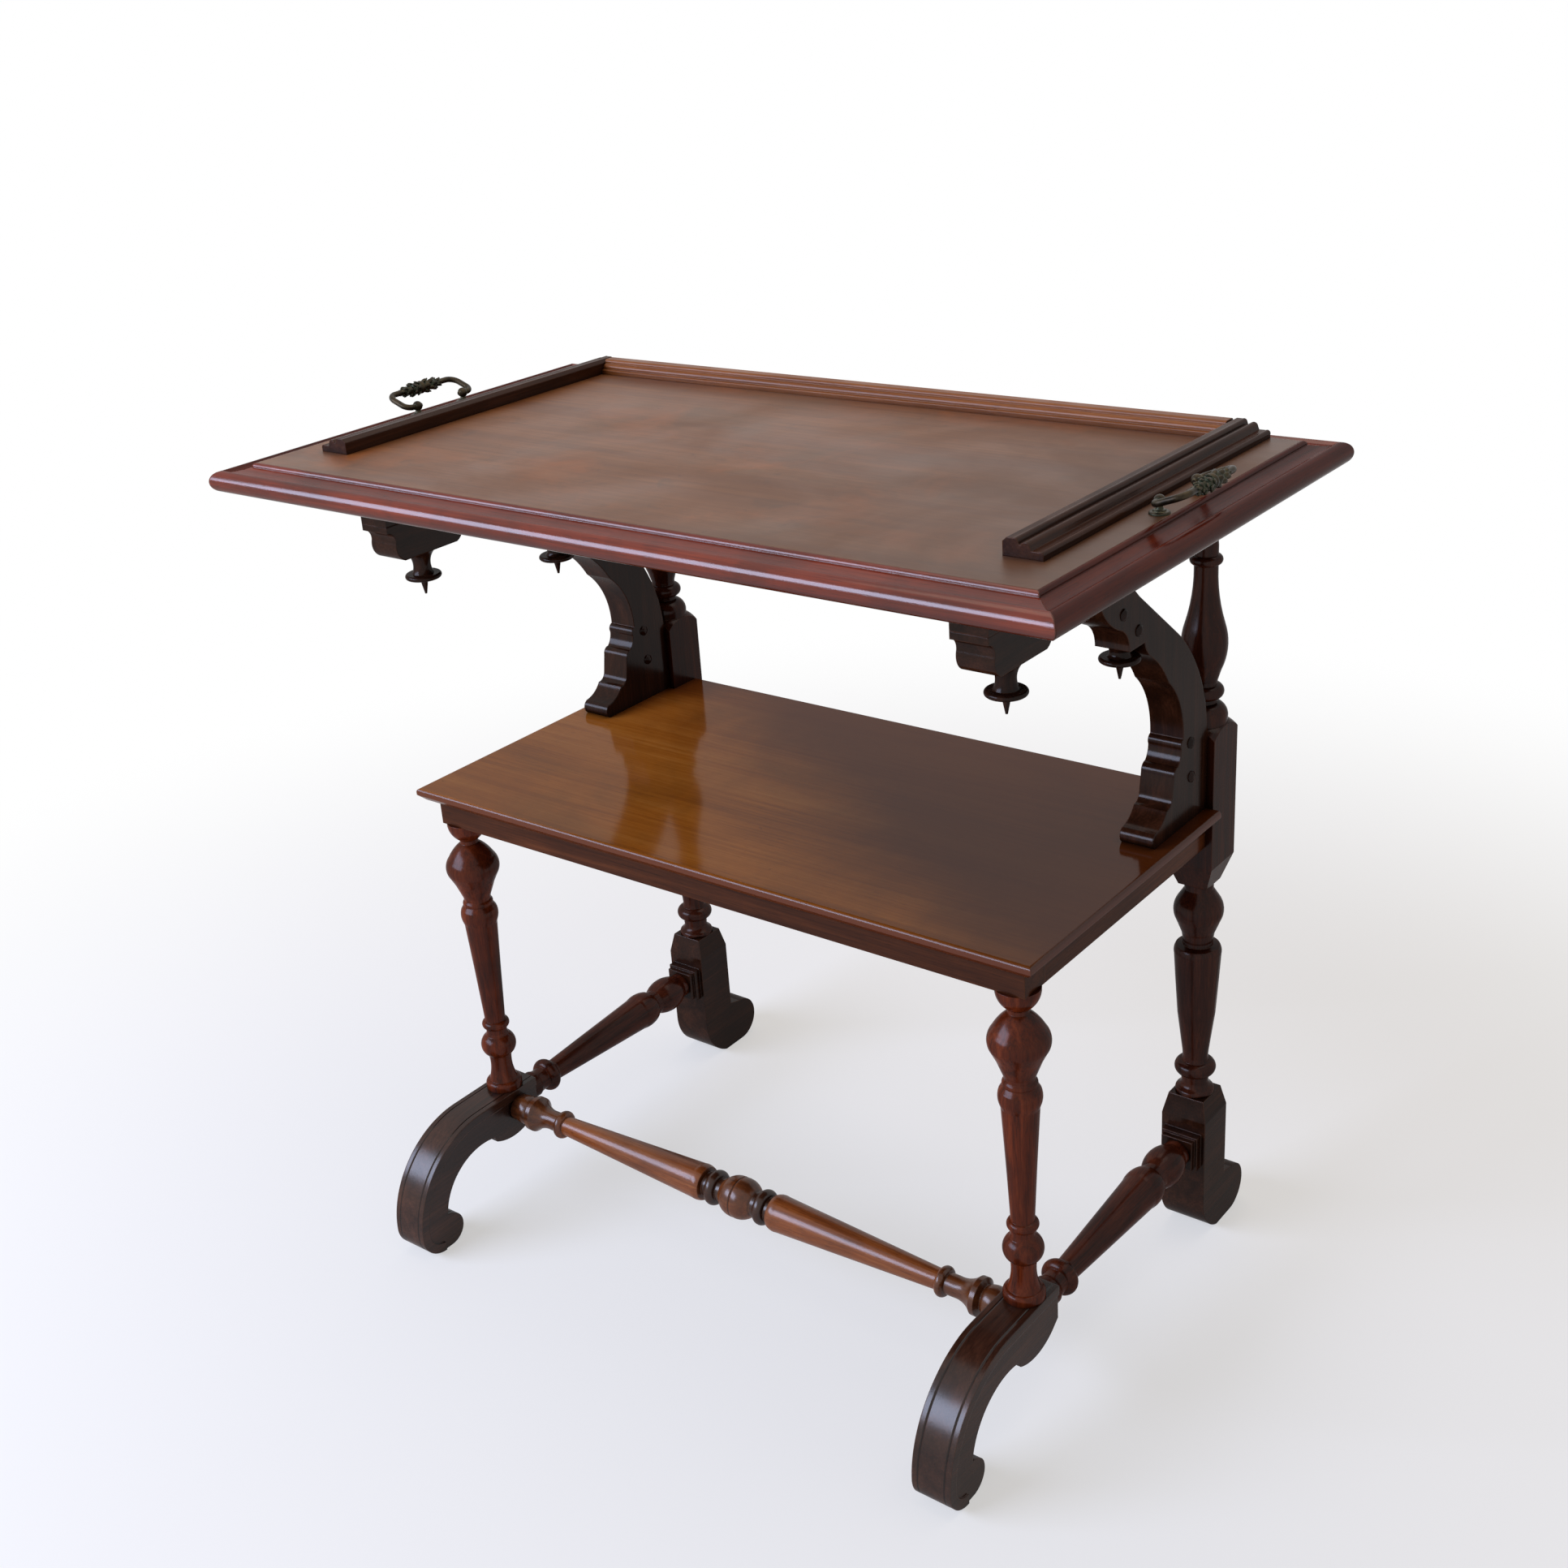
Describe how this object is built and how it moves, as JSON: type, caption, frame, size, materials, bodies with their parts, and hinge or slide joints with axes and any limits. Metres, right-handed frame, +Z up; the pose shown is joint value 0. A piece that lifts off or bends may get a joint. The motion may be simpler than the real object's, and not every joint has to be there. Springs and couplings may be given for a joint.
{
  "type": "tray top tea table",
  "caption": "Two-tier wooden tea table: lift-off tray top with raised strips and bail handles, shelf, turned legs and stretchers, scroll brackets and scroll feet.",
  "frame": {"origin": "on the floor, under the middle of the overall box", "axes": "+Z up, +X to the right along the tray's length, +Y from the front feet to the rear feet"},
  "size_m": [0.816, 0.504, 0.7837],
  "materials": {
    "tray_field": "worn satin mahogany with faded patches",
    "tray_moulding": "polished red-brown mahogany",
    "gallery_back": "polished orange-brown mahogany",
    "gallery_side": "dark stained mahogany, satin",
    "shelf": "glossy french-polished mahogany",
    "turning": "polished red-brown mahogany",
    "stretcher": "polished orange-brown mahogany",
    "rail": "polished dark mahogany",
    "pendant": "ebonised turned wood",
    "dark_frame": "dark polished mahogany",
    "bronze": "dark bronze with a green patina"
  },
  "bodies": {
    "base": {"front_foot_left": "dark_frame", "rear_foot_left": "dark_frame", "front_leg_left": "turning", "rear_post_left": "turning", "side_stretcher_left": "turning", "bracket_left": "dark_frame", "bearer_left": "dark_frame", "drop_block_left": "dark_frame", "front_pendant_left": "pendant", "rear_pendant_left": "pendant", "shelf_rail_left": "rail", "front_foot_right": "dark_frame", "rear_foot_right": "dark_frame", "front_leg_right": "turning", "rear_post_right": "turning", "side_stretcher_right": "turning", "bracket_right": "dark_frame", "bearer_right": "dark_frame", "drop_block_right": "dark_frame", "front_pendant_right": "pendant", "rear_pendant_right": "pendant", "shelf_rail_right": "rail", "front_stretcher": "stretcher", "shelf_board": "shelf", "shelf_rail_front": "rail", "shelf_rail_back": "rail", "bearer_cross_rail": "dark_frame"},
    "tray": {"tray_board": "tray_field", "tray_edge_left": "tray_moulding", "gallery_left": "gallery_side", "handle_post_left_front": "bronze", "handle_post_left_back": "bronze", "tray_edge_right": "tray_moulding", "gallery_right": "gallery_side", "handle_post_right_front": "bronze", "handle_post_right_back": "bronze", "tray_edge_front": "tray_moulding", "tray_edge_back": "tray_moulding", "gallery_back": "gallery_back"},
    "bail_left": {"bail_left": "bronze"},
    "bail_right": {"bail_right": "bronze"}
  },
  "joints": [
    {"name": "tray_lift", "type": "slide", "parent": "base", "child": "tray", "axis": [0, 0, 1], "range_m": [0, 0.15]},
    {"name": "bail_left_swing", "type": "hinge", "parent": "tray", "child": "bail_left", "pos_m": [-0.3695, -0.004, 0.769], "axis": [0, 1, 0], "range_deg": [0, 90]},
    {"name": "bail_right_swing", "type": "hinge", "parent": "tray", "child": "bail_right", "pos_m": [0.3695, -0.004, 0.769], "axis": [0, -1, 0], "range_deg": [0, 90]}
  ]
}
